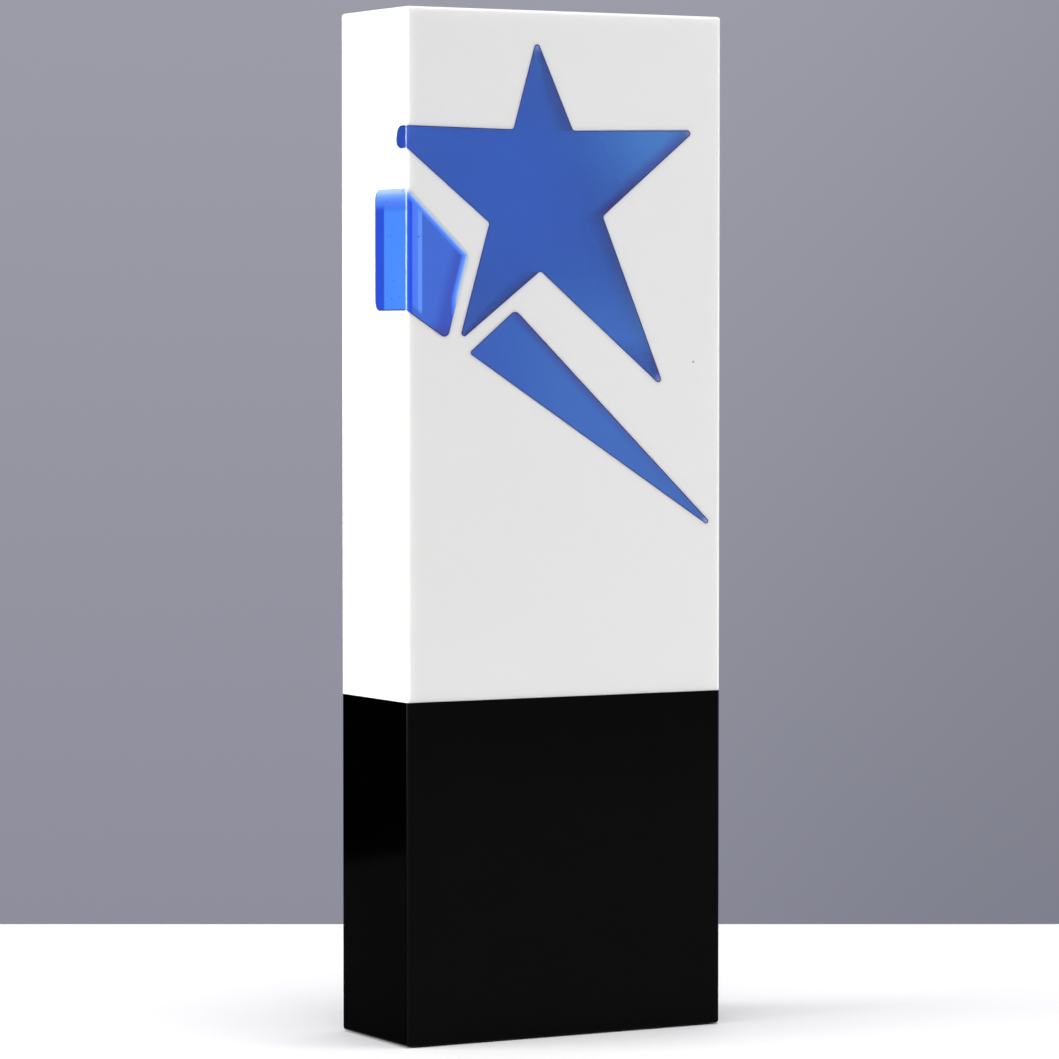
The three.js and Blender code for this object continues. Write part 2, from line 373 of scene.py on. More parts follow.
def floor_points(loop, fillet_radius):
    """Points across the pocket floor: close rings along the fillet, then an even field."""
    inward = inward_normals(loop)
    found = [loop]
    for step in range(1, FILLET_STEPS + 1):
        reach = fillet_radius * (1 - math.cos(math.pi / 2 * step / FILLET_STEPS))
        ring = loop + inward * reach
        ring = ring[inside(loop, ring)]
        found.append(ring[distance_to(loop, ring) > RING_CLEARANCE * reach])
    low, high = loop.min(0), loop.max(0)
    rows = np.arange(low[1], high[1], FLOOR_SPACING * math.sin(math.pi / 3))
    field = np.array([
        (x + (FLOOR_SPACING / 2 if k % 2 else 0), z)
        for k, z in enumerate(rows)
        for x in np.arange(low[0], high[0], FLOOR_SPACING)
    ])
    field = field[inside(loop, field)]
    found.append(field[distance_to(loop, field) > fillet_radius + FLOOR_SPACING / 2])
    points = np.concatenate(found)
    keep = list(range(len(loop)))
    for i in range(len(loop), len(points)):
        nearest = np.abs(points[keep] - points[i]).max(1).min()
        if nearest > CLOSEST_POINTS:
            keep.append(i)
    return points[keep]


def pointed_tips(corners):
    """Each pointed arm as its tip and the middle of its root. An arm that the left face cuts off has its
    tip where its two sides would meet outside."""
    tips = []
    for i, corner in enumerate(corners):
        before, after = corners[i - 1], corners[(i + 1) % len(corners)]
        if corner.x > LEFT and (before - corner).angle(after - corner) < POINTED:
            tips.append((corner, (before + after) / 2))
        if corner.x < LEFT and after.x < LEFT:
            root = corners[(i + 2) % len(corners)]
            tip = line_crossing(before, corner, root, after)
            if tip.x < LEFT:
                tips.append((tip, (before + root) / 2))
    return tips


def inlay_solid(name, node, radii, fillet_radius):
    """The body of resin in one pocket, still standing out past the block's faces."""
    corners = sharp_corners(node)
    tips = pointed_tips(corners)
    loop = rounded_loop(corners, radii, WALL_SPACING)
    points = floor_points(loop, fillet_radius)
    count = len(loop)
    made = delaunay_2d_cdt([Vector(p) for p in points], [], [list(range(count))], 1, 1e-7)
    flat, triangles, sources = np.array(made[0]), made[2], made[3]
    depth = pocket_depth(flat, loop, tips, fillet_radius)
    vertices = [(x, FRONT + d, z) for (x, z), d in zip(flat, depth)]
    rim = {source: i for i, merged in enumerate(sources) for source in merged if source < count}
    rim = [rim[i] for i in range(count)]
    faces = [tuple(t) for t in triangles]
    ring = rim
    # The wall runs out past the front in two steps.
    for level in (0.5, 0.0):
        start = len(vertices)
        for i in rim:
            x, y, z = vertices[i]
            vertices.append((x, FRONT - OVERRUN + (y - FRONT + OVERRUN) * level, z))
        ahead = list(range(start, start + count))
        faces += [
            (ring[k], ring[(k + 1) % count], ahead[(k + 1) % count], ahead[k]) for k in range(count)
        ]
        ring = ahead
    faces.append(tuple(ring))
    mesh = mesh_from(name, vertices, faces)
    bm = bmesh.new()
    bm.from_mesh(mesh)
    bmesh.ops.recalc_face_normals(bm, faces=bm.faces)
    bm.to_mesh(mesh)
    bm.free()
    return new_piece(name, mesh)


# ---------------------------------------------------------------- materials

# How many times its core's radius a dust speck reaches, and how sharply the cells that hold one are told
# from those that don't.
SPECK_SOFTNESS = 1.6
SPECK_CHOICE = 0.001

# The surface looks to the left below this x of its normal, and not at all above the second.
FACING_LEFT = -0.9
NOT_FACING_LEFT = -0.5


class Tree:
    """A node tree, with short calls for what the materials and the backdrop have in common."""

    def __init__(self, tree):
        self.tree = tree

    def add(self, kind, **settings):
        node = self.tree.nodes.new(kind)
        for key, value in settings.items():
            setattr(node, key, value)
        return node

    def link(self, start, end):
        self.tree.links.new(start, end)

    def feed(self, socket, value):
        """Gives a socket a colour, a number or another node's output."""
        if isinstance(value, tuple):
            socket.default_value = (*value, 1)
        elif isinstance(value, (int, float)):
            socket.default_value = value
        else:
            self.link(value, socket)

    def parts(self, vector):
        node = self.add("ShaderNodeSeparateXYZ")
        self.link(vector, node.inputs[0])
        return node.outputs

    def vector_maths(self, operation, vector, other):
        """A number made from a node's vector and a fixed one."""
        node = self.add("ShaderNodeVectorMath", operation=operation)
        self.link(vector, node.inputs[0])
        node.inputs[1].default_value = other
        return node.outputs["Value"]

    def maths(self, operation, a, b):
        node = self.add("ShaderNodeMath", operation=operation)
        self.feed(node.inputs[0], a)
        self.feed(node.inputs[1], b)
        return node.outputs[0]

    def product(self, a, b):
        return self.maths("MULTIPLY", a, b)

    def ramp(self, value, start, end, course="SMOOTHSTEP"):
        """value carried from start's place and level to end's, and level beyond them."""
        node = self.add("ShaderNodeMapRange", interpolation_type=course)
        node.inputs["From Min"].default_value, node.inputs["To Min"].default_value = start
        node.inputs["From Max"].default_value, node.inputs["To Max"].default_value = end
        self.feed(node.inputs["Value"], value)
        return node.outputs[0]

    def rising(self, value, start, end):
        """0 up to start, 1 from end on."""
        return self.ramp(value, (start, 0.0), (end, 1.0))

    def falling(self, value, start, end):
        """1 up to start, 0 from end on."""
        return self.ramp(value, (start, 1.0), (end, 0.0))

    def band(self, value, start, end, soft):
        """1 between two places, 0 outside them."""
        rising = self.rising(value, start - soft / 2, start + soft / 2)
        return self.product(rising, self.falling(value, end - soft / 2, end + soft / 2))

    def mix(self, share, a, b, blend="MIX"):
        node = self.add("ShaderNodeMix", data_type="RGBA", blend_type=blend, clamp_factor=True)
        self.feed(node.inputs["Factor"], share)
        self.feed(node.inputs[6], a)
        self.feed(node.inputs[7], b)
        return node.outputs[2]

    def times(self, share, tint, factors):
        """tint multiplied by factors, where share is 1."""
        return self.mix(share, tint, factors, "MULTIPLY")


class Nodes(Tree):
    """A material's node tree: one shader, fed with what varies over the piece."""

    def __init__(self, name):
        self.material = bpy.data.materials.new(name)
        self.material.use_nodes = True
        super().__init__(self.material.node_tree)
        self.tree.nodes.clear()
        self.shader = self.add("ShaderNodeBsdfPrincipled")
        self.output = self.add("ShaderNodeOutputMaterial")
        self.link(self.shader.outputs[0], self.output.inputs["Surface"])
        self.place = self.add("ShaderNodeTexCoord").outputs["Object"]
        self.x, self.y, self.z = self.parts(self.place)

    def set(self, **values):
        """Fixed values of the shader's sockets."""
        for key, value in values.items():
            self.shader.inputs[key.replace("_", " ")].default_value = value

    def vary(self, socket, output):
        self.link(output, self.shader.inputs[socket])

    def normal_parts(self):
        return self.parts(self.add("ShaderNodeNewGeometry").outputs["Normal"])

    def noise(self, per_metre, detail=3.0, roughness=0.5):
        node = self.add("ShaderNodeTexNoise")
        node.inputs["Scale"].default_value = per_metre
        node.inputs["Detail"].default_value = detail
        node.inputs["Roughness"].default_value = roughness
        self.link(self.place, node.inputs["Vector"])
        return node.outputs[0]

    def specks(self, per_metre, share, size):
        """1 in a few small round specks, 0 elsewhere: share of the cells hold one, sized against a cell."""
        cells = self.add("ShaderNodeTexVoronoi")
        cells.inputs["Scale"].default_value = per_metre
        self.link(self.place, cells.inputs["Vector"])
        near = self.falling(cells.outputs["Distance"], size, size * SPECK_SOFTNESS)
        chosen = self.add("ShaderNodeSeparateColor")
        self.link(cells.outputs["Color"], chosen.inputs[0])
        return self.product(near, self.falling(chosen.outputs[0], share, share + SPECK_CHOICE))

    def bump(self, height, depth):
        node = self.add("ShaderNodeBump")
        node.inputs["Strength"].default_value = 1.0
        node.inputs["Distance"].default_value = depth
        self.link(height, node.inputs["Height"])
        self.vary("Normal", node.outputs[0])


# Specks are given as cells per metre, the share of cells that hold one, and size against a cell. Varying
# roughness is given as two pairs of a noise value and the roughness there.
WHITE_TONES = ((0.81, 0.81, 0.788), (0.83, 0.83, 0.808))
WHITE_DUST = (0.35, 0.35, 0.34)
WHITE_SPECKS = (70, 0.025, 0.02)
WHITE_IOR = 1.5
WHITE_ROUGHNESS = ((0.0, 0.13), (1.0, 0.19))
WHITE_WAVE_DEPTH = 0.004 * MM
WHITE_GLOW_RADIUS = (1.0, 0.97, 0.94)
WHITE_GLOW_SCALE = 2.0 * MM


def white_resin():
    """Opaque white casting: light sinks in a little and glows at the edges, a few dust specks show, and
    the surface has the slight waviness of hand polishing."""
    nodes = Nodes("white_resin")
    cloud = nodes.mix(nodes.noise(per_metre=18, detail=2), *WHITE_TONES)
    nodes.vary("Base Color", nodes.mix(nodes.specks(*WHITE_SPECKS), cloud, WHITE_DUST))
    haze = nodes.noise(per_metre=40, detail=2)
    nodes.vary("Roughness", nodes.ramp(haze, *WHITE_ROUGHNESS))
    nodes.bump(nodes.noise(per_metre=90, detail=2), WHITE_WAVE_DEPTH)
    nodes.set(IOR=WHITE_IOR, Subsurface_Weight=1.0)
    nodes.set(Subsurface_Radius=WHITE_GLOW_RADIUS, Subsurface_Scale=WHITE_GLOW_SCALE)
    return nodes.material


FLOOR_LINING = (0.86, 0.88, 0.94)
FLOOR_LINING_CLOUD = 0.96
# Painted shade: a dark purple tone on the pocket's right-hand walls, which face away from the right lamp,
# and a darker floor near the left face.
RIGHT_WALL_PAINTED_SHADE = (0.5, 0.02, 0.12)
OPEN_END_PAINTED_SHADE = (0.16, 0.20, 0.42)
# The right-hand walls' painted shade starts to fade at this share of its reach, and the painted shade of
# the dark end at this share of its own.
WALL_FADE_START = 0.1
OPEN_END_FADE_START = 0.8


def pocket_lining_and_shade(name, wall_tone, wall_reach, open_end):
    """The matt surface that the resin is bonded to. Its right-hand walls carry painted shade, which fades
    over wall_reach from the mouth, and its floor is painted darker as shade near the left face, up to
    open_end."""
    nodes = Nodes(name)
    facing = nodes.normal_parts()
    upright = nodes.falling(nodes.maths("ABSOLUTE", facing["Y"], 0), 0.0, 0.9)
    shaded_side = nodes.falling(facing["X"], -0.5, -0.1)
    shaded = nodes.falling(nodes.y, FRONT + WALL_FADE_START * wall_reach, FRONT + wall_reach)
    shade_near_end = nodes.falling(nodes.x, LEFT + OPEN_END_FADE_START * open_end, LEFT + open_end)
    darker = tuple(FLOOR_LINING_CLOUD * c for c in FLOOR_LINING)
    tone = nodes.mix(nodes.noise(per_metre=150), darker, FLOOR_LINING)
    floor = nodes.mix(shade_near_end, tone, OPEN_END_PAINTED_SHADE)
    wall = nodes.mix(nodes.product(shaded, shaded_side), tone, wall_tone)
    nodes.vary("Base Color", nodes.mix(upright, floor, wall))
    nodes.set(Roughness=1.0, Specular_IOR_Level=0.0)
    return nodes.material


RESIN_TINT = (0.118, 0.255, 0.94)
RESIN_SPECK = (0.01, 0.03, 0.2)
RESIN_IOR = 1.5
RESIN_ROUGHNESS = ((0.2, 0.03), (0.8, 0.06))
RESIN_ABSORBED = (0.3, 0.90, 0.99)
RESIN_DENSITY = 45.0
RESIN_CLARITY = 0.72
FEW_SPECKS = (170, 0.12, 0.035)
MANY_SPECKS = (300, 0.45, 0.05)


def blue_resin(name, tone_of, specks):
    """Tinted resin, milky enough to hold its colour where it is thin, with small dark specks in it."""
    nodes = Nodes(name)
    tone, milky = tone_of(nodes)
    nodes.vary("Base Color", nodes.mix(nodes.specks(*specks), tone, RESIN_SPECK))
    nodes.vary("Transmission Weight", nodes.ramp(milky, (0.0, RESIN_CLARITY), (1.0, 0.0)))
    haze = nodes.noise(per_metre=80)
    nodes.vary("Roughness", nodes.ramp(haze, *RESIN_ROUGHNESS))
    nodes.set(IOR=RESIN_IOR)
    body = nodes.add("ShaderNodeVolumeAbsorption")
    body.inputs["Color"].default_value = (*RESIN_ABSORBED, 1)
    body.inputs["Density"].default_value = RESIN_DENSITY
    nodes.link(body.outputs[0], nodes.output.inputs["Volume"])
    return nodes.material


def on_left_face(nodes):
    """1 where the surface looks to the left, 0 on the front."""
    return nodes.falling(nodes.normal_parts()["X"], FACING_LEFT, NOT_FACING_LEFT)


def distance_inside(nodes, start, end):
    """How far each place is inside one straight side of an outline."""
    inward = Vector((start.y - end.y, end.x - start.x)).normalized()
    across = nodes.vector_maths("DOT_PRODUCT", nodes.place, (inward.x, 0, inward.y))
    return nodes.maths("SUBTRACT", across, inward.dot(start))


# The side streak's tones are as they show on the front; its left face takes this share of them, as painted
# shade.
LEFT_FACE_SHADE_SHARE = (0.5, 0.5, 0.5)
SIDE_STREAK_MILKINESS = 0.85

# Painted shade and light in bands next to the left edge: a dark strip of shade, then paler bands of light.
# From and to, and the tone there. Those away from the edge end short of the lower side.
BANDS = (
    (0.0, 1.8 * MM, (0.019, 0.09, 0.85)),
    (1.8 * MM, 4.9 * MM, (0.088, 0.225, 1.0)),
    (3.6 * MM, 4.9 * MM, (0.135, 0.34, 1.0)),
)
BAND_SOFTNESS = 0.5 * MM
BAND_FOOT = (1.2 * MM, 3.0 * MM)
BODY_TONE = (0.060, 0.162, 0.70)
# Painted shade in a band just before the right glow.
BEFORE_GLOW_SHADE_TONE = (0.052, 0.105, 0.56)
BEFORE_GLOW_REACH = (3.0 * MM, 8.0 * MM)
LOW_TIP_FACTORS = (1.05, 0.75, 0.75)
LOW_TIP_REACH = (1.5 * MM, 6.0 * MM)

# The painted glow of light along the upper and right walls: how far each tone reaches from the wall, before
# stretching.
PAINTED_GLOW_TONES = (
    (2.9 * MM, (0.09, 0.24, 1.0)),
    (1.9 * MM, (0.18, 0.40, 1.0)),
    (1.1 * MM, (0.55, 0.75, 1.0)),
)
GLOW_STEP = 1.2 * MM
RIGHT_GLOW_STRETCH = 0.85
UPPER_GLOW_STRETCH = 0.75
LEFT_FACE_GLOW_STRETCH = 1.6
# The right glow narrows towards the low tip: height above the tip, and how much narrower.
GLOW_NARROWING = ((1.0 * MM, 3.5 * MM), (14.0 * MM, 0.0))

# The left face's tones, with painted shade below the upper glow and at the back of the pocket.
LEFT_FACE_TONE = (0.073, 0.27, 1.0)
LEFT_FACE_UPPER_SHADE_TONE = (0.048, 0.20, 0.88)
LEFT_FACE_UPPER_REACH = (2.3 * MM, 3.3 * MM)
LEFT_FACE_DEEP_SHADE_TONE = (0.026, 0.088, 0.70)
LEFT_FACE_DEEP_REACH = (13.9 * MM, 14.7 * MM)


def side_streak_front(nodes, from_right, from_lower, above_tip):
    """The front: painted bands of shade and light next to the left edge, painted shade before the right
    glow, and darker at the low tip.
    """
    shade_before_glow = nodes.falling(from_right, *BEFORE_GLOW_REACH)
    tone = nodes.mix(shade_before_glow, BODY_TONE, BEFORE_GLOW_SHADE_TONE)
    tone = nodes.times(nodes.falling(above_tip, *LOW_TIP_REACH), tone, LOW_TIP_FACTORS)
    from_left = nodes.maths("SUBTRACT", nodes.x, LEFT)
    above_foot = nodes.rising(from_lower, *BAND_FOOT)
    for start, end, band_tone in BANDS:
        share = nodes.band(from_left, start, end, BAND_SOFTNESS)
        if start > 0:
            share = nodes.product(share, above_foot)
        tone = nodes.mix(share, tone, band_tone)
    return tone


def side_streak_left(nodes, from_upper):
    """The left face, painted darker as shade: a deeper blue below the upper glow, and deeper still at the
    back of the pocket.
    """
    below_glow = nodes.falling(from_upper, *LEFT_FACE_UPPER_REACH)
    tone = nodes.mix(below_glow, LEFT_FACE_TONE, LEFT_FACE_UPPER_SHADE_TONE)
    deep = nodes.rising(nodes.maths("SUBTRACT", nodes.y, FRONT), *LEFT_FACE_DEEP_REACH)
    return nodes.mix(deep, tone, LEFT_FACE_DEEP_SHADE_TONE)


def side_streak_tone(nodes):
    """The side streak catches light from its open end, shown as a glow of light painted along its upper and
    right walls.
    """
    low_tip, right_corner, upper_end, lower_end = sharp_corners("side_streak_inlay")
    on_left = on_left_face(nodes)
    from_right = nodes.maths("DIVIDE", distance_inside(nodes, low_tip, right_corner), RIGHT_GLOW_STRETCH)
    stretch = nodes.ramp(on_left, (0.0, UPPER_GLOW_STRETCH), (1.0, LEFT_FACE_GLOW_STRETCH))
    from_upper = nodes.maths("DIVIDE", distance_inside(nodes, right_corner, upper_end), stretch)
    from_lower = distance_inside(nodes, lower_end, low_tip)
    above_tip = nodes.maths("SUBTRACT", nodes.z, low_tip.y)
    front = side_streak_front(nodes, from_right, from_lower, above_tip)
    tone = nodes.mix(on_left, front, side_streak_left(nodes, from_upper))
    narrower = nodes.ramp(above_tip, *GLOW_NARROWING)
    from_wall = nodes.maths("MINIMUM", from_upper, nodes.maths("ADD", from_right, narrower))
    for reach, glow in PAINTED_GLOW_TONES:
        tone = nodes.mix(nodes.falling(from_wall, max(0.0, reach - GLOW_STEP), reach), tone, glow)
    return nodes.times(on_left, tone, LEFT_FACE_SHADE_SHARE), SIDE_STREAK_MILKINESS


# The paler resin where an inlay thins out to a point.
TIP_TONE = (0.30, 0.36, 0.62)
TIP_FADE = 4.0 * MM
# Pointed corners further left than this show no such paling.
TIPS_START = -20 * MM


def at_tips(nodes, node, radius):
    """1 at an inlay's pointed tips on the right, where the resin thins out to nothing, and 0 elsewhere."""
    share = 0.0
    corners = sharp_corners(node)
    for i, corner in enumerate(corners):
        before, after = corners[i - 1], corners[(i + 1) % len(corners)]
        opening = (before - corner).angle(after - corner)
        if corner.x < TIPS_START or opening > POINTED:
            continue
        setback = radius / math.sin(opening / 2) - radius
        away = nodes.vector_maths("DISTANCE", nodes.place, (corner.x, FRONT, corner.y))
        share = nodes.maths("MAXIMUM", share, nodes.falling(away, setback, setback + TIP_FADE))
    return share


# Where and how the star is paler towards its right arm: along x plus a share of the height.
ARM_HEIGHT_SHARE = 0.5
ARM_REACH = (120 * MM, 165 * MM)
ARM_FACTORS = (1.15, 1.5, 1.05)
ARM_MILKINESS = 0.32
# Its long leg is paler between its root and just above its tip, right of the star's middle.
LONG_LEG_TIP = (192 * MM, 206 * MM)
LONG_LEG_ROOT = (202 * MM, 240 * MM)
LONG_LEG_LEFT = (-12 * MM, 2 * MM)
LONG_LEG_FACTORS = (1.12, 1.3, 1.1)
LONG_LEG_MILKINESS = 0.25
# The right arm is painted darker along its lower side, beyond its root, as shade from its wall.
UNDER_ARM_REACH = (0.8 * MM, 4.5 * MM)
UNDER_ARM_ROOT = (-2 * MM, 4 * MM)
UNDER_ARM_SHADE_FACTORS = (0.92, 0.6, 0.75)
STAR_TIP_SHARE = 0.6
# The star's left face is painted darker, as shade.
STAR_LEFT_FACE_SHADE_FACTORS = (0.35, 0.4, 0.6)


def under_arm(nodes):
    """Where the painted shade goes: 1 along the lower side of the star's right arm, 0 elsewhere."""
    corners = sharp_corners("star_inlay")
    arm = max(range(len(corners)), key=lambda i: corners[i].x)
    root, tip = corners[arm - 1], corners[arm]
    near_side = nodes.falling(distance_inside(nodes, root, tip), *UNDER_ARM_REACH)
    beyond_root = nodes.rising(nodes.z, *(root.y + place for place in UNDER_ARM_ROOT))
    return nodes.product(near_side, beyond_root)


def star_tone(nodes):
    """The star is a shade paler towards its right arm and down its long leg, painted darker as shade along
    the right arm's lower side, and painted dark as shade at the end that the left face cuts off."""
    along_arm = nodes.maths("ADD", nodes.x, nodes.product(nodes.z, ARM_HEIGHT_SHARE))
    arm = nodes.rising(along_arm, *ARM_REACH)
    leg = nodes.product(nodes.rising(nodes.z, *LONG_LEG_TIP), nodes.falling(nodes.z, *LONG_LEG_ROOT))
    leg = nodes.product(leg, nodes.rising(nodes.x, *LONG_LEG_LEFT))
    tone = nodes.times(arm, RESIN_TINT, ARM_FACTORS)
    tone = nodes.times(leg, tone, LONG_LEG_FACTORS)
    tone = nodes.times(under_arm(nodes), tone, UNDER_ARM_SHADE_FACTORS)
    tips = nodes.product(at_tips(nodes, "star_inlay", CORNER_RADIUS), STAR_TIP_SHARE)
    tone = nodes.mix(tips, tone, TIP_TONE)
    arm_milk, leg_milk = nodes.product(arm, ARM_MILKINESS), nodes.product(leg, LONG_LEG_MILKINESS)
    milky = nodes.maths("MAXIMUM", nodes.maths("MAXIMUM", arm_milk, leg_milk), tips)
    return nodes.times(on_left_face(nodes), tone, STAR_LEFT_FACE_SHADE_FACTORS), milky


TAIL_TINT = (0.112, 0.27, 1.0)
TAIL_RIGHT_REACH = (-30 * MM, 0.0)
TAIL_RIGHT_FACTORS = (1.08, 1.18, 1.0)
# Painted shade along the tail's upper right side, fading off to the right.
TAIL_EDGE_REACH = (0.5 * MM, 3.5 * MM)
TAIL_EDGE_FADE = ((0.0, 1.0), (40 * MM, 0.2))
TAIL_EDGE_SHADE_FACTORS = (1.05, 0.72, 0.8)
TAIL_TIP_SHARE = 0.9
TAIL_MILKINESS = ((-25 * MM, 0.25), (20 * MM, 0.33))


def tail_tone(nodes):
    """The tail is shallower, so it looks milkier, with painted shade as a darker edge along its upper right
    side.
    """
    corners = sharp_corners("tail_streak_inlay")
    tip = max(corners, key=lambda corner: corner.x)
    upper = max(corners, key=lambda corner: corner.y)
    tone = nodes.times(nodes.rising(nodes.x, *TAIL_RIGHT_REACH), TAIL_TINT, TAIL_RIGHT_FACTORS)
    edge = nodes.falling(distance_inside(nodes, tip, upper), *TAIL_EDGE_REACH)
    edge = nodes.product(edge, nodes.ramp(nodes.x, *TAIL_EDGE_FADE))
    tone = nodes.times(edge, tone, TAIL_EDGE_SHADE_FACTORS)
    tips = nodes.product(at_tips(nodes, "tail_streak_inlay", TAIL_RADII[0]), TAIL_TIP_SHARE)
    milky = nodes.maths("MAXIMUM", tips, nodes.ramp(nodes.x, *TAIL_MILKINESS))
    return nodes.mix(tips, tone, TIP_TONE), milky


RESIN_LINE_SHADE_TONES = ((0.035, 0.02, 0.16), (0.065, 0.035, 0.25))
RESIN_LINE_ROUGHNESS = 0.08
RESIN_LINE_CLARITY = 0.5


def shaded_resin_line():
    """The same resin along its edge, painted dark as shade along the seam."""
    nodes = Nodes("shaded_resin_line")
    nodes.vary("Base Color", nodes.mix(nodes.noise(per_metre=400), *RESIN_LINE_SHADE_TONES))
    nodes.set(IOR=RESIN_IOR, Roughness=RESIN_LINE_ROUGHNESS, Transmission_Weight=RESIN_LINE_CLARITY)
    return nodes.material


# The base's left face is painted a deeper, duller black than the rest of it, as shade. The greys are its
# darkest and lightest tone, and that of the dust in it.
BLACK_GREYS = (0.0022, 0.0028, 0.010)
BLACK_IOR = 1.09
LEFT_BLACK_SHADE_GREYS = (0.0001, 0.0002, 0.0008)
LEFT_BLACK_IOR = 1.03
BLACK_SPECKS = (60, 0.02, 0.02)
BLACK_ROUGHNESS = ((0.3, 0.07), (0.7, 0.10))
BLACK_WAVE_DEPTH = 0.003 * MM


def black_resin(name, greys, ior):
    """Black casting with the faintest polishing haze."""
    nodes = Nodes(name)
    darkest, lightest, dust = ((grey, grey, grey) for grey in greys)
    tone = nodes.mix(nodes.noise(per_metre=50), darkest, lightest)
    nodes.vary("Base Color", nodes.mix(nodes.specks(*BLACK_SPECKS), tone, dust))
    haze = nodes.noise(per_metre=70, detail=4)
    nodes.vary("Roughness", nodes.ramp(haze, *BLACK_ROUGHNESS))
    nodes.bump(nodes.noise(per_metre=120, detail=2), BLACK_WAVE_DEPTH)
    nodes.set(IOR=ior)
    return nodes.material


# Each metal's tone, its tone where handling has dulled it, and its roughness.
BRASS = ((0.62, 0.44, 0.17), (0.46, 0.31, 0.12), 0.3)
STEEL = ((0.50, 0.50, 0.51), (0.38, 0.38, 0.40), 0.32)
GROUND_STEEL = ((0.56, 0.56, 0.57), (0.48, 0.48, 0.50), 0.18)
WORN_PATCHES = (0.35, 0.65)
RINGS_PER_METRE = 900
RING_WAVER = 0.6
RING_ROUGHNESS = 0.06
RING_DEPTH = 0.008 * MM


def metal(name, tone, worn_tone, roughness):
    """Turned metal: fine rings round the axis, and duller patches from handling."""
    nodes = Nodes(name)
    patches = nodes.rising(nodes.noise(per_metre=350, detail=4), *WORN_PATCHES)
    nodes.vary("Base Color", nodes.mix(patches, tone, worn_tone))
    rings = nodes.add("ShaderNodeTexWave", wave_type="BANDS", bands_direction="Z")
    rings.inputs["Scale"].default_value = RINGS_PER_METRE
    rings.inputs["Distortion"].default_value = RING_WAVER
    nodes.link(nodes.place, rings.inputs["Vector"])
    low, high = roughness - RING_ROUGHNESS, roughness + RING_ROUGHNESS
    nodes.vary("Roughness", nodes.ramp(rings.outputs[0], (0.0, low), (1.0, high)))
    nodes.bump(rings.outputs[0], RING_DEPTH)
    nodes.set(Metallic=1.0)
    return nodes.material


FELT_TONES = ((0.010, 0.010, 0.011), (0.030, 0.030, 0.032))
FELT_TONE_CHANGE = (0.35, 0.65)
FELT_PALE_FIBRES = (0.05, 0.05, 0.055)
FELT_PALING = ((0.4, 0.0), (0.7, 0.4))
FELT_PILE = 0.15 * MM


def felt():
    """Charcoal felt: short matted fibres, light and dark, lying every way."""
    nodes = Nodes("pad_felt")
    matted = nodes.noise(per_metre=900, detail=6, roughness=0.7)
    fibres = nodes.noise(per_metre=3500, detail=3, roughness=0.6)
    tone = nodes.mix(nodes.rising(fibres, *FELT_TONE_CHANGE), *FELT_TONES)
    nodes.vary("Base Color", nodes.mix(nodes.ramp(matted, *FELT_PALING), tone, FELT_PALE_FIBRES))
    nodes.bump(nodes.maths("ADD", matted, fibres), FELT_PILE)
    nodes.set(Roughness=1.0, Specular_IOR_Level=0.1, Sheen_Weight=0.3, Sheen_Roughness=0.6)
    return nodes.material


# ---------------------------------------------------------------- the blocks and what is in them


def everywhere(outward):
    return True


def below_and_behind(outward):
    return outward.z < -0.5 or outward.y > 0.5


# Each inlay's corner radii and floor fillet, then its resin's tones and specks, where its dark line of
# painted shade runs, and its pocket's wall tone of painted shade, fade and shaded dark end.
INLAYS = (
    ("star_inlay", [CORNER_RADIUS] * 11, FLOOR_FILLET,
     star_tone, FEW_SPECKS, everywhere, RIGHT_WALL_PAINTED_SHADE, 19 * MM, 2 * MM),
    ("side_streak_inlay", SIDE_STREAK_RADII, SIDE_STREAK_FILLET,
     side_streak_tone, MANY_SPECKS, below_and_behind, FLOOR_LINING, 17 * MM, 9 * MM),
    ("tail_streak_inlay", TAIL_RADII, FLOOR_FILLET,
     tail_tone, FEW_SPECKS, everywhere, RIGHT_WALL_PAINTED_SHADE, 11 * MM, 1 * MM),
)
SIDES = ("left", "right")


def finish_piece(piece, slot, *nodes):
    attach(piece, "root")
    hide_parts(*nodes)


def narrowed(mesh, amount):
    """A copy of a pocket's cutting body whose wall and floor are moved inwards."""
    copy = mesh.copy()
    normals = [vertex.normal.copy() for vertex in mesh.vertices]
    for vertex, normal in zip(copy.vertices, normals):
        if vertex.co.y < FRONT:
            normal.y = 0
            normal.normalize()
        vertex.co -= normal * amount
    copy.update()
    return copy


def draw_line(inlay, runs):
    """Gives a narrow rim of the front and left faces the second material, where the rule says it runs."""
    bm = bmesh.new()
    bm.from_mesh(inlay.data)
    for axis, level in ((1, FRONT + FLUSH_STEP), (0, LEFT + FLUSH_STEP)):
        flat = [f for f in bm.faces if all(abs(v.co[axis] - level) < FLUSH_TOLERANCE for v in f.verts)]
        if not flat:
            continue
        face = max(flat, key=lambda f: f.calc_area())
        rim = bmesh.ops.inset_region(bm, faces=[face], thickness=LINE_WIDTH, use_even_offset=True)["faces"]
        for part in rim:
            beside = {g for e in part.edges for g in e.link_faces} - set(rim) - {face}
            if any(abs(g.normal[axis]) < STEEP and runs(g.normal) for g in beside):
                part.material_index = 1
    bm.to_mesh(inlay.data)
    bm.free()


def make_inlay(node, radii, fillet_radius, resin, line, line_runs):
    """One inlay, trimmed flush with the block's faces, and the untrimmed body that its pocket fits."""
    inlay = inlay_solid(node + "_visual", node, radii, fillet_radius)
    body = inlay.data.copy()
    trim = eased_bar("trim", *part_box("white_block"), inset=FLUSH_STEP)
    boolean(inlay, trim, "INTERSECT")
    discard(trim)
    inlay.data.materials.clear()
    inlay.data.materials.append(resin)
    inlay.data.materials.append(line)
    draw_line(inlay, line_runs)
    smooth_by_angle(inlay)
    finish_piece(inlay, "blue_resin", node)
    return body


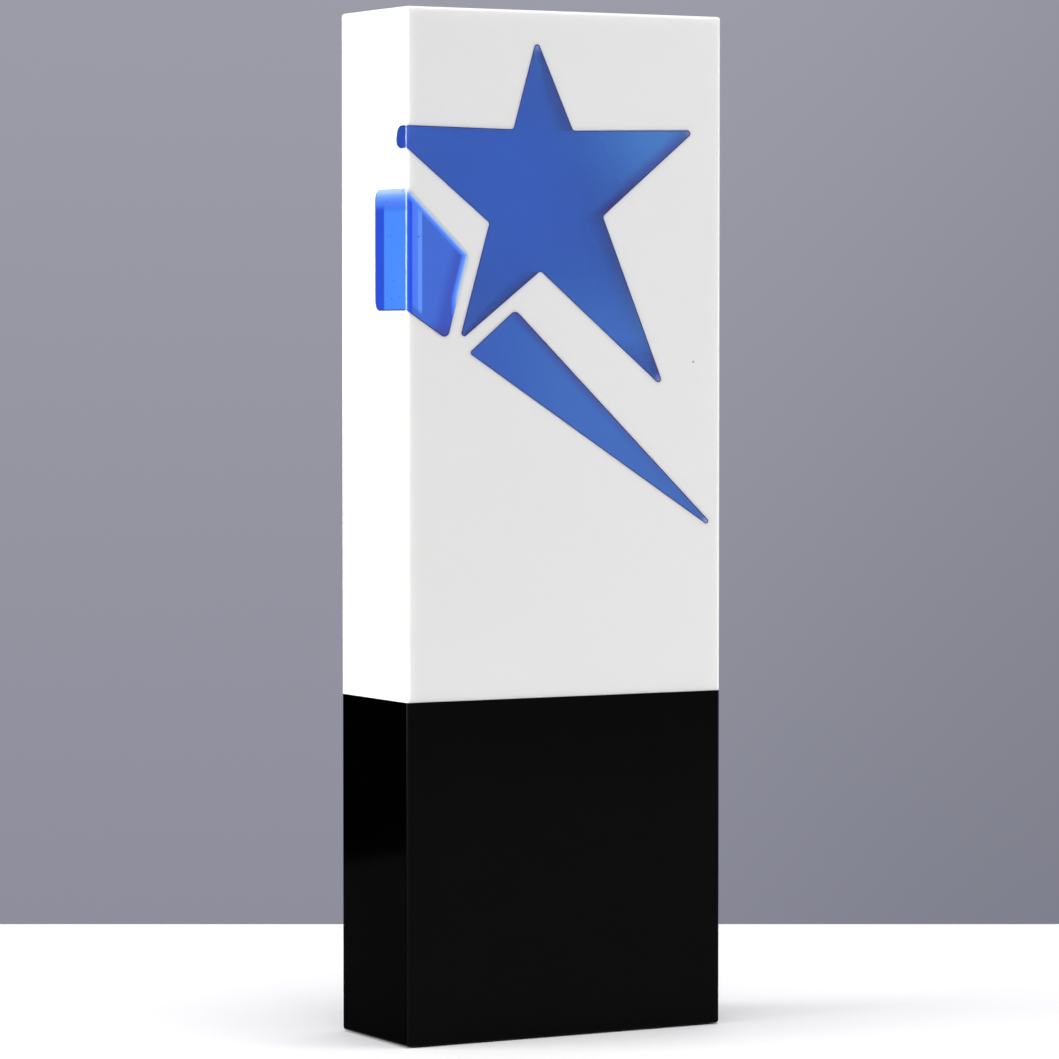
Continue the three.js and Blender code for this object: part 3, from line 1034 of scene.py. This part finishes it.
def make_white_block_and_inlays():
    low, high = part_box("white_block")
    line = shaded_resin_line()
    block = eased_bar("white_block_visual", low, high)
    block.data.materials.append(white_resin())
    for node, radii, fillet_radius, tone_of, specks, line_runs, wall_tone, wall_reach, open_end in INLAYS:
        resin = blue_resin(node + "_resin", tone_of, specks)
        body = make_inlay(node, radii, fillet_radius, resin, line, line_runs)
        cutter = new_piece("pocket_cutter", narrowed(body, BOND))
        cutter.data.materials.append(pocket_lining_and_shade(node + "_lining", wall_tone, wall_reach, open_end))
        boolean(block, cutter, "DIFFERENCE")
        discard(cutter)
    for side in SIDES:
        bore_for(block, "insert_" + side, low.z - OVERRUN, low.z + INSERT_BORE_DEPTH)
        bore_for(block, "dowel_" + side, low.z - OVERRUN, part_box("dowel_" + side)[1].z + FIT)
    smooth_by_angle(block)
    finish_piece(block, "white_resin", "white_block")


def bore_for(piece, node, low, high):
    """Drills the hole that a fixing sits in."""
    node_low, node_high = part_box(node)
    bore(piece, (node_low + node_high) / 2, (node_high.x - node_low.x) / 2 + FIT, low, high)


def make_black_base():
    low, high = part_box("black_base")
    base = eased_bar("black_base_visual", low, high)
    base.data.materials.append(black_resin("black_resin", BLACK_GREYS, BLACK_IOR))
    recess = pad_body("recess", FIT, low.z - OVERRUN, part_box("base_pad")[1].z)
    boolean(base, recess, "DIFFERENCE")
    discard(recess)
    for side in SIDES:
        washer_low, washer_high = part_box("washer_" + side)
        centre = (washer_low + washer_high) / 2
        dowel_low, dowel_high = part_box("dowel_" + side)
        # The screws' shanks are as thick as the dowels.
        shank_radius = (dowel_high.x - dowel_low.x) / 2
        bore(base, centre, COUNTERBORE_RADIUS, low.z, washer_high.z)
        bore(base, centre, shank_radius + FIT, low.z, high.z + OVERRUN)
        bore_for(base, "dowel_" + side, dowel_low.z - FIT, high.z + OVERRUN)
    # The left face takes a darker copy of the black: painted shade.
    base.data.materials.append(black_resin("black_resin_left_shade", LEFT_BLACK_SHADE_GREYS, LEFT_BLACK_IOR))
    for polygon in base.data.polygons:
        if polygon.normal.x < FACING_LEFT and polygon.center.x < LEFT + 0.1 * EDGE_RADIUS:
            polygon.material_index = len(base.data.materials) - 1
    smooth_by_angle(base)
    finish_piece(base, "black_resin", "black_base")


PAD_CORNER_RADIUS = 3 * MM
PAD_EDGE_RADIUS = 0.4 * MM
PAD_EDGE_SEGMENTS = 4
PAD_GRID = 1.5 * MM


def pad_body(name, grow, bottom, top, edge_radius=0.0):
    """The pad's rounded slab between two heights, or with grow the recess that it lies in."""
    low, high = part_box("base_pad")
    corners = [
        Vector((low.x - grow, low.y - grow)),
        Vector((high.x + grow, low.y - grow)),
        Vector((high.x + grow, high.y + grow)),
        Vector((low.x - grow, high.y + grow)),
    ]
    loop = rounded_loop(corners, [PAD_CORNER_RADIUS + grow] * 4, PAD_GRID)
    count = len(loop)
    vertices = [(x, y, z) for z in (bottom, top) for x, y in loop]
    faces = [tuple(range(count))[::-1], tuple(range(count, 2 * count))]
    faces += [(k, (k + 1) % count, count + (k + 1) % count, count + k) for k in range(count)]
    mesh = mesh_from(name, vertices, faces)
    if edge_radius:
        bm = bmesh.new()
        bm.from_mesh(mesh)
        level = [e for e in bm.edges if abs(e.verts[0].co.z - e.verts[1].co.z) < 0.1 * edge_radius]
        bevel(bm, level, edge_radius, PAD_EDGE_SEGMENTS)
        bm.to_mesh(mesh)
        bm.free()
    return new_piece(name, mesh)


def make_base_pad():
    low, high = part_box("base_pad")
    pad = pad_body("base_pad_visual", 0, low.z, high.z, PAD_EDGE_RADIUS)
    pad.data.materials.append(felt())
    smooth_by_angle(pad)
    finish_piece(pad, "pad_felt", "base_pad")


def finish_fixings():
    """The fixings' shapes stay as they were packed, with turned metal on them."""
    brass = metal("insert_brass", *BRASS)
    steel = metal("screw_steel", *STEEL)
    ground = metal("dowel_steel", *GROUND_STEEL)
    finishes = {"insert_": brass, "screw_": steel, "washer_": steel, "dowel_": ground}
    for start, finish in finishes.items():
        for side in SIDES:
            for material_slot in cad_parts[start + side].material_slots:
                material_slot.material = finish


# ---------------------------------------------------------------- floor and light

FLOOR_TONE = (0.91, 0.91, 0.912)
FLOOR_CLOUD = 0.985
FLOOR_CLOUD_CHANGE = (0.3, 0.7)
FLOOR_ROUGHNESS = 0.6
FLOOR_GLOSS = 0.2
TABLE_BEHIND = 0.25
TABLE_AHEAD = 5.0
TABLE_ASIDE = 5.0


def make_table():
    """A pale table top that ends a little way behind the trophy, square to the camera."""
    ahead = direction(CAMERA_AZIMUTH, 0)
    corners = [
        -TABLE_BEHIND * ahead + TABLE_ASIDE * CAMERA_RIGHT,
        -TABLE_BEHIND * ahead - TABLE_ASIDE * CAMERA_RIGHT,
        TABLE_AHEAD * ahead - TABLE_ASIDE * CAMERA_RIGHT,
        TABLE_AHEAD * ahead + TABLE_ASIDE * CAMERA_RIGHT,
    ]
    table = new_piece("table", mesh_from("table", corners, [(0, 1, 2, 3)]))
    nodes = Nodes("table")
    darker = tuple(FLOOR_CLOUD * c for c in FLOOR_TONE)
    cloud = nodes.rising(nodes.noise(per_metre=6), *FLOOR_CLOUD_CHANGE)
    nodes.vary("Base Color", nodes.mix(cloud, darker, FLOOR_TONE))
    nodes.set(Roughness=FLOOR_ROUGHNESS, Specular_IOR_Level=FLOOR_GLOSS)
    table.data.materials.append(nodes.material)


LAMP_TONE = (1.0, 0.99, 0.96)


def softbox(name, azimuth, elevation, distance, size, power):
    """A soft lamp facing the trophy, with its angles in degrees."""
    towards_lamp = direction(math.radians(azimuth), math.radians(elevation))
    data = bpy.data.lights.new(name, "AREA")
    data.shape = "RECTANGLE"
    data.size, data.size_y = size
    data.energy = power
    data.color = LAMP_TONE
    lamp = bpy.data.objects.new(name, data)
    bpy.context.scene.collection.objects.link(lamp)
    lamp.location = (cad_low + cad_high) / 2 + distance * towards_lamp
    lamp.rotation_euler = towards_lamp.to_track_quat("Z", "Y").to_euler()


BACKDROP_LOW = (0.262, 0.262, 0.325)
BACKDROP_HIGH = (0.335, 0.335, 0.395)
BACKDROP_RISE = (-0.15, 0.07)
# It is a shade darker low on the right.
SHADE_DIRECTION = (CAMERA_RIGHT.x, CAMERA_RIGHT.y, -0.35)
SHADE_REACH = (0.0, 0.17)
SHADE_FACTORS = (0.78, 0.79, 0.79)
# A dark flag behind on the left keeps the left face's own colour free of reflections.
FLAG_DIRECTION = (-0.4825, 0.8759, -0.0413)
FLAG_REACH = (math.cos(math.radians(20)), math.cos(math.radians(13)))
FLAG_TONE = (0.01, 0.01, 0.012)


def make_world():
    """A grey backdrop, paler higher up and shaded low on the right, with the flag in front of it."""
    world = bpy.data.worlds.new("world")
    world.use_nodes = True
    nodes = Tree(world.node_tree)
    outward = nodes.add("ShaderNodeTexCoord").outputs["Generated"]
    low, high = BACKDROP_RISE
    rise = nodes.ramp(nodes.parts(outward)["Z"], (low, 0.0), (high, 1.0), "LINEAR")
    tone = nodes.mix(rise, BACKDROP_LOW, BACKDROP_HIGH)
    flag = nodes.rising(nodes.vector_maths("DOT_PRODUCT", outward, FLAG_DIRECTION), *FLAG_REACH)
    tone = nodes.mix(flag, tone, FLAG_TONE)
    shade = nodes.rising(nodes.vector_maths("DOT_PRODUCT", outward, SHADE_DIRECTION), *SHADE_REACH)
    tone = nodes.times(shade, tone, SHADE_FACTORS)
    nodes.link(tone, world.node_tree.nodes["Background"].inputs["Color"])
    bpy.context.scene.world = world


def make_light():
    make_world()
    softbox("left_softbox", azimuth=-102, elevation=4, distance=1.2, size=(0.9, 0.5), power=23)
    softbox("right_softbox", azimuth=58, elevation=-3, distance=0.85, size=(0.5, 0.85), power=3.9)
    softbox("top_softbox", azimuth=10, elevation=80, distance=1.4, size=(1.2, 1.2), power=19.5)
    bpy.context.scene.view_settings.view_transform = "Standard"


make_camera()
make_white_block_and_inlays()
make_black_base()
make_base_pad()
finish_fixings()
make_table()
make_light()
